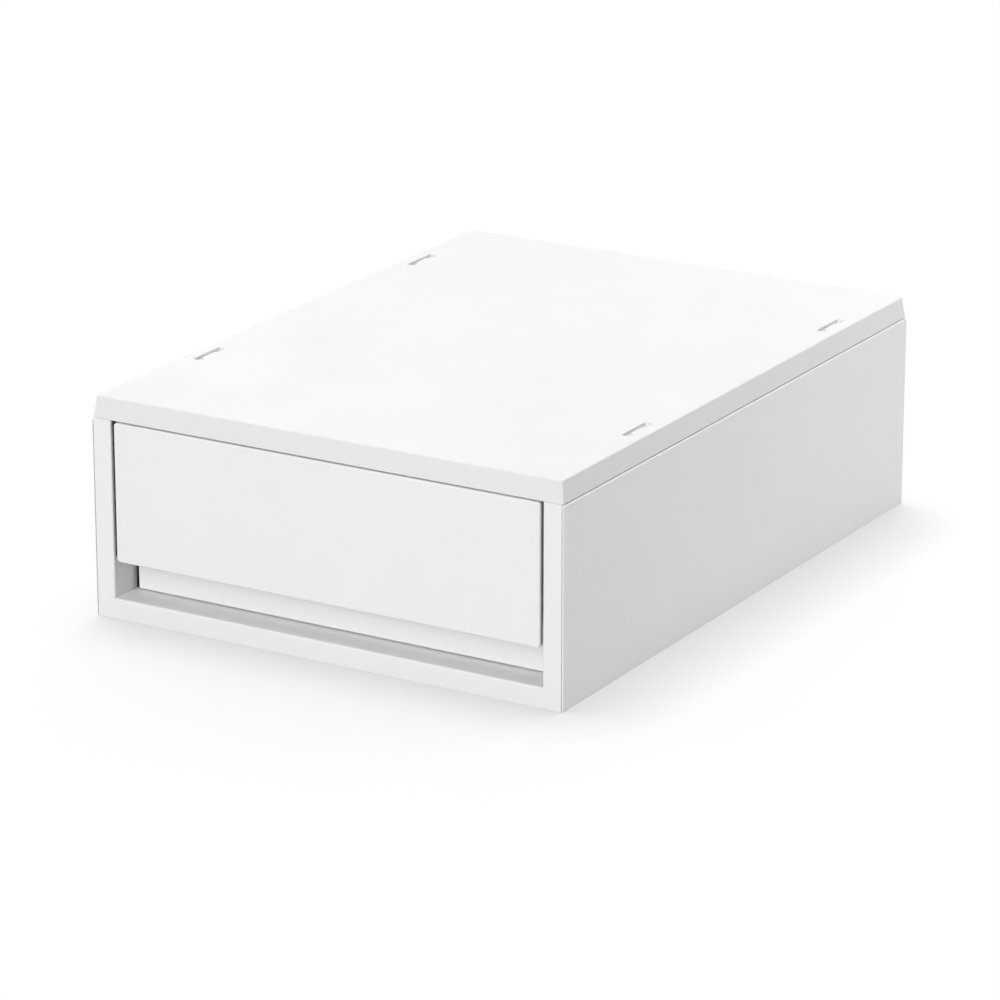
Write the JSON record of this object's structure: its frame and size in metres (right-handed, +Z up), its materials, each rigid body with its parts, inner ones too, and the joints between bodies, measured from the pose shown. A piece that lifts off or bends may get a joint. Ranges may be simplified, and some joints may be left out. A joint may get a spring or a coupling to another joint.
{
  "type": "stackable drawer box",
  "caption": "Low white plastic drawer box: a snap-together case with stacking slots in its lid, and one pull-out drawer with a finger pocket under its front.",
  "frame": {"origin": "middle of the underside, on the surface that the case stands on", "axes": "+Z up, -Y out of the drawer's front, +X to the right as seen from the front"},
  "size_m": [0.26, 0.352, 0.111],
  "materials": {
    "case_plastic": "fine satin",
    "drawer_plastic": "fine satin"
  },
  "bodies": {
    "case": {"top_panel": "case_plastic", "side_panel_right": "case_plastic", "side_panel_left": "case_plastic", "front_frame": "case_plastic", "back_panel": "case_plastic", "bottom_panel": "case_plastic"},
    "drawer": {"drawer_tray": "drawer_plastic", "drawer_front": "drawer_plastic"}
  },
  "joints": [
    {"name": "drawer_slide", "type": "slide", "parent": "case", "child": "drawer", "axis": [0, -1, 0], "range_m": [0, 0.28]}
  ]
}
